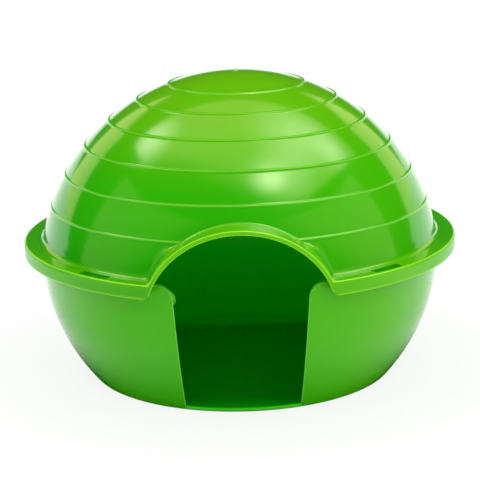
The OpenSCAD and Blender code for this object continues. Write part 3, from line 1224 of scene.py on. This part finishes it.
def add_side_wall(bm):
    """The hood's wall goes on down beside the doorway, between the skirt and the bowl."""
    outline = []
    for step in range(SIDE_STEPS):
        x, z, out_x, out_z = inner_outline(blend(HOOD_TURN, FLANK_TURN, step / SIDE_STEPS))
        inside = math.hypot(x, z - DOME_Z) < HOOD_OUT_R - SIDE_SETBACK
        if z < FLANGE_Z - WALL / 2 and inside:
            outline.append((x - out_x * SIDE_SETBACK, z - out_z * SIDE_SETBACK))
    low, high = outline[-1][1], outline[0][1]
    for step in range(HOOD_SIDE_STEPS + 1):
        z = blend(low, high, step / HOOD_SIDE_STEPS)
        outline.append((math.sqrt(HOOD_OUT_R**2 - (z - DOME_Z) ** 2), z))
    front_r = FLANGE_R - WALL / 2
    back = [bm.verts.new((x, -math.sqrt(SIDE_R**2 - x * x), z)) for x, z in outline]
    face = bm.faces.new(back)
    pulled = bmesh.ops.extrude_face_region(bm, geom=[face], use_keep_orig=True)["geom"]
    for vert in pulled:
        if isinstance(vert, bmesh.types.BMVert):
            vert.co.y = -math.sqrt(front_r**2 - vert.co.x**2)


print("hooks end", round(CATCH_R, 2), "mm out, and the lip", LIP_R)

# %% The whole cover
PLAIN_TURN, SIDE_TURN = FLANK_TURN + math.radians(30), math.radians(90)
COVER_ARCS = [
    (HOOD_TURN, 22), (FLANK_TURN, 32), (SLOT_START, 12), (SLOT_END, 8),
    (math.pi - SLOT_END, 78), (math.pi - SLOT_START, 8), (math.pi, 30),
]


def make_cover():
    """Spins the profile of the side, then leads each point before PLAIN_TURN to its row's place."""
    rows, slot_top, slot_under = cover_rows()
    profile = [(row(SIDE_TURN).xy.length, row(SIDE_TURN).z) for row in rows]
    bm = spin_rows(profile, COVER_ARCS)
    outlines = cut_slots(bm, slot_top, slot_under)
    row = bm.verts.layers.int["row"]
    for vert in bm.verts:
        turn = turn_of(vert.co)
        if turn < PLAIN_TURN:
            vert.co = rows[vert[row]](turn)
    for upper, lower in outlines:
        bmesh.ops.bridge_loops(bm, edges=upper + lower)
    for middle in SLOT_MIDDLES:
        add_catch(bm, middle)
    add_side_wall(bm)
    finish_piece(bm, "cover_shell", "cover", "dome_cover", cover_plastic)


make_cover()

# %% [markdown]
# ## The bowl: a doorway cut down to the sill
# The bowl is a ball-shaped shell with a flat base, a lip outside its rim and a thicker band
# inside it. The doorway could be a hole cut by a boolean, but that leaves ragged faces along its
# edge. Here the spun columns are turned so that one of them lies exactly on the doorway's side.
# The faces before it are taken away, and the wall's cut edge is bridged from outside to inside.

# %% Sizes of the bowl's edge and doorway
BASE_EDGE_R = 1.0
LIP_Z = RIM_Z - WALL
BAND_T, BAND_H = 1.2, 6.0
BAND_R, BAND_Z = BOWL_R - WALL - BAND_T, RIM_Z - BAND_H
LIP_GAP = 0.4
LIP_END_X = HOOD_OUT_R + LIP_GAP
JAMB_TURN, CALM_TURN, CALM_R = math.radians(21), math.radians(60), BOWL_R / 1.4
LIP_TURN = math.asin(LIP_END_X / (BOWL_R + LIP_R) * 2)


def ball_radius(z, depth=0.0):
    """Radius of the bowl's round wall at a height, at a depth under its outer skin."""
    return math.sqrt((BOWL_R - depth) ** 2 - (z - BOWL_Z) ** 2)


def jamb_x(z):
    """How far the doorway's side is from the middle at a height."""
    if z <= DOOR_CORNER_Z:
        return SILL_X + max(z - SILL_Z, 0) * math.tan(LEAN)
    centre = SILL_X + (DOOR_CORNER_Z - SILL_Z) * math.tan(LEAN) + DOOR_CORNER_R / math.cos(LEAN)
    return centre - math.sqrt(max(DOOR_CORNER_R**2 - (z - DOOR_CORNER_Z) ** 2, 0))


def at_doorway(turn, radius, z):
    """Turns a column so that the one at JAMB_TURN lies on the doorway's side."""
    if turn >= CALM_TURN or radius < CALM_R:
        return spun(turn, radius, z)
    jamb = math.asin(jamb_x(z) / radius)
    if turn <= JAMB_TURN:
        return spun(turn * jamb / JAMB_TURN, radius, z)
    return spun(blend(jamb, CALM_TURN, (turn - JAMB_TURN) / (CALM_TURN - JAMB_TURN)), radius, z)


print("doorway", 2 * SILL_X, "wide at the sill and", 2 * RIM_X, "at the rim")

# %% Rows of the bowl
CORNER_LEVELS = [LIP_Z] + [RIM_Z - drop for drop in (1.1, 0.7, 0.4, 0.2, 0.05, 0)]
CALM_LEVELS = [LIP_Z] + [RIM_Z - drop for drop in (1.45, 1.3, 1.1, 0.9, 0.65, 0)]
CORNER_FADE = math.radians(3)
LIP_ROWS = [(BOWL_R + out, LIP_Z) for out in (0, 1.2, 2.4)]
LIP_ROWS += [(LIP_R, z) for z in (LIP_Z, RIM_Z - 1.1, RIM_Z - 0.6, RIM_Z)]
BALL_LEVELS = [3 * step for step in range(1, 15)]
BAND_LEVELS = [RIM_Z - drop for drop in (5.0, 4.1, 3.3, 2.5, 2.0)]
BASE_RADII, FLOOR_RADII = (0, 20, 40, 52), (54, 40, 20, 0)
BASE_ANGLES = [math.radians(angle) for angle in (0, 16, 33, 49.5)]
BAND_SLOPE = 1.0
FOOT_LEVELS = [4.2, 3.2]
FLOOR_FILLET = [(55.45, 2.2), (54.8, 1.75)]


def rim_level(index, turn):
    """Levels near the rim crowd together only at the doorway's round corner."""
    calm = ease(turn, JAMB_TURN, JAMB_TURN + CORNER_FADE)
    return blend(CORNER_LEVELS[index], CALM_LEVELS[index], calm)


def lip_row(index):
    """On the lip, or on the plain wall beside the doorway, where the lip has ended."""
    def place(turn):
        if turn > LIP_TURN:
            return LIP_ROWS[index]
        z = rim_level(index, turn)
        return ball_radius(z), z

    return place


def fixed_row(radius, z):
    return lambda turn: (radius, z)


def base_edge_row(angle):
    """On the round edge of the base, which ends on the ball."""
    last = BASE_ANGLES[-1]
    middle = ball_radius(BASE_EDGE_R * (1 - math.cos(last))) - BASE_EDGE_R * math.sin(last)
    return fixed_row(middle + BASE_EDGE_R * math.sin(angle), BASE_EDGE_R * (1 - math.cos(angle)))


def band_row(index):
    """On the inner band, near the rim."""
    return lambda turn: (BAND_R, rim_level(index, turn))


def bowl_rows():
    """All rows from under the middle, up the outside, over the rim and down to the floor."""
    rows = [fixed_row(radius, 0.0) for radius in BASE_RADII]
    rows += [base_edge_row(angle) for angle in BASE_ANGLES]
    rows.append(fixed_row(ball_radius(BASE_EDGE_R), BASE_EDGE_R))
    sill = len(rows)
    rows += [fixed_row(ball_radius(z), z) for z in [SILL_Z] + BALL_LEVELS + BAND_LEVELS]
    rows += [lip_row(index) for index in range(len(LIP_ROWS))]
    rim = len(rows)
    rows += [band_row(index) for index in reversed(range(len(CALM_LEVELS)))]
    rows += [fixed_row(BAND_R, z) for z in BAND_LEVELS[::-1] + [BAND_Z]]
    inside = [BAND_Z - BAND_SLOPE] + BALL_LEVELS[:0:-1] + FOOT_LEVELS
    rows += [fixed_row(ball_radius(z, WALL), z) for z in inside]
    rows += [fixed_row(radius, z) for radius, z in FLOOR_FILLET]
    floor_row = len(rows)
    rows += [fixed_row(radius, SILL_Z) for radius in FLOOR_RADII]
    return rows, sill, rim, floor_row


print(len(bowl_rows()[0]), "rows in the bowl's profile")

# %% Cut the doorway and close its sides
CUT_EDGE, CUT_EDGE_STEPS, CUT_EDGE_ANGLE = 0.32, 3, math.radians(35)
SAME_TURN = math.radians(0.05)
NUB, NUB_DEPTH, NUB_FOOT, NUB_SIDE = 0.9, 1.2, 0.2, 0.45
NUB_FADE = (RIM_Z - 3.5, RIM_Z - 1.0)


def chain(bm, first_row, last_row, turn=None):
    """Edges of one column between two rows, or of one row up to the doorway's side."""
    row = bm.verts.layers.int["row"]
    found = []
    for edge in bm.edges:
        rows = [vert[row] for vert in edge.verts]
        turns = [turn_of(vert.co) for vert in edge.verts]
        if turn is None:
            wanted = max(turns) < JAMB_TURN + SAME_TURN
        else:
            wanted = all(abs(value - turn) < SAME_TURN for value in turns)
        if wanted and min(rows) >= first_row and max(rows) <= last_row:
            found.append(edge)
    return found


def push_band_end(bm):
    """On the left the inner band ends a little further into the doorway than the wall does."""
    for vert in bm.verts:
        x, y, z = vert.co
        on_jamb = x < 0 and abs(-x - jamb_x(z)) < NUB_SIDE and z > BAND_Z - NUB_FOOT
        if on_jamb and y > -math.sqrt((BOWL_R - NUB_DEPTH) ** 2 - x * x):
            vert.co.x += NUB * (1 - ease(z, *NUB_FADE))


print("nub", NUB, "mm and cut edges", CUT_EDGE, "mm round")

# %% The whole bowl
LIP_STEP = math.radians(0.15)
BOWL_ARCS = [
    (JAMB_TURN, 14), (LIP_TURN - LIP_STEP, 14), (LIP_TURN + LIP_STEP, 1),
    (CALM_TURN, 36), (math.pi, 96),
]


def make_bowl():
    """Spins the profile of the rear, opens the doorway, and leads each point to its place."""
    rows, sill, rim, floor_row = bowl_rows()
    bm = spin_rows([row(math.pi) for row in rows], BOWL_ARCS)
    bmesh.ops.delete(bm, geom=faces_between(bm, sill, floor_row, 0, JAMB_TURN), context="FACES")
    outer = chain(bm, sill, rim - 1, JAMB_TURN)
    inner = chain(bm, rim, floor_row, JAMB_TURN)
    sill_edges = [chain(bm, index, index) for index in (sill, floor_row)]
    row = bm.verts.layers.int["row"]
    for vert in bm.verts:
        turn = turn_of(vert.co)
        radius, z = rows[vert[row]](turn)
        vert.co = at_doorway(turn, radius, z)
    bmesh.ops.bridge_loops(bm, edges=outer + inner)
    bmesh.ops.bridge_loops(bm, edges=sill_edges[0] + sill_edges[1])
    bmesh.ops.recalc_face_normals(bm, faces=bm.faces)
    sharp = [edge for edge in bm.edges if edge.is_manifold and edge.calc_face_angle() > CUT_EDGE_ANGLE]
    bmesh.ops.bevel(
        bm, geom=sharp, offset=CUT_EDGE, offset_type="OFFSET", segments=CUT_EDGE_STEPS, profile=0.5,
        affect="EDGES", material=-1, clamp_overlap=False,
    )
    finish_piece(
        bm, "bowl_shell", "bowl", "base_bowl", bowl_plastic, one_sided=push_band_end
    )


make_bowl()
